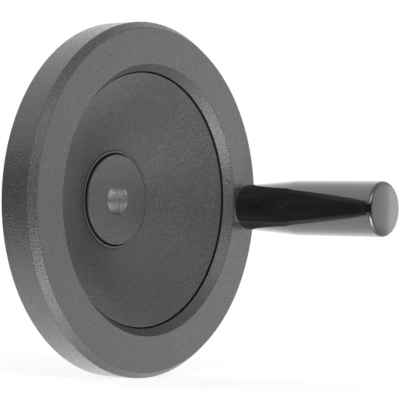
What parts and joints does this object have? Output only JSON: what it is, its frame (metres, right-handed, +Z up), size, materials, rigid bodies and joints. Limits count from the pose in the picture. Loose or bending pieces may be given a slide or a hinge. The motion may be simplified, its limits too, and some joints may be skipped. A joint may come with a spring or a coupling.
{
  "type": "machine handwheel",
  "caption": "Disc handwheel with a conical web, a plain centre bore and a revolving handle on its rim, turned by hand to drive a machine's shaft.",
  "frame": {"origin": "middle of the hub's bore, on the wheel's axis", "axes": "+Y along the wheel's axis, out of the back where the machine's shaft leaves the bore; -Y is the front, where the handle points; +X runs from the bore towards the handle, and +Z is up"},
  "size_m": [0.1416, 0.1074, 0.14],
  "materials": {
    "coated_aluminium": "matte",
    "spindle_steel": "satin",
    "spring_steel": "satin",
    "black_plastic": "gloss"
  },
  "bodies": {
    "handwheel": {"wheel": "coated_aluminium", "spindle": "spindle_steel", "retaining_ring": "spring_steel"},
    "grip": {"grip": "black_plastic"}
  },
  "joints": [
    {"name": "grip_spin", "type": "hinge", "parent": "handwheel", "child": "grip", "pos_m": [0.06057, -0.03015, 0], "axis": [0, -1, 0], "continuous": true}
  ]
}
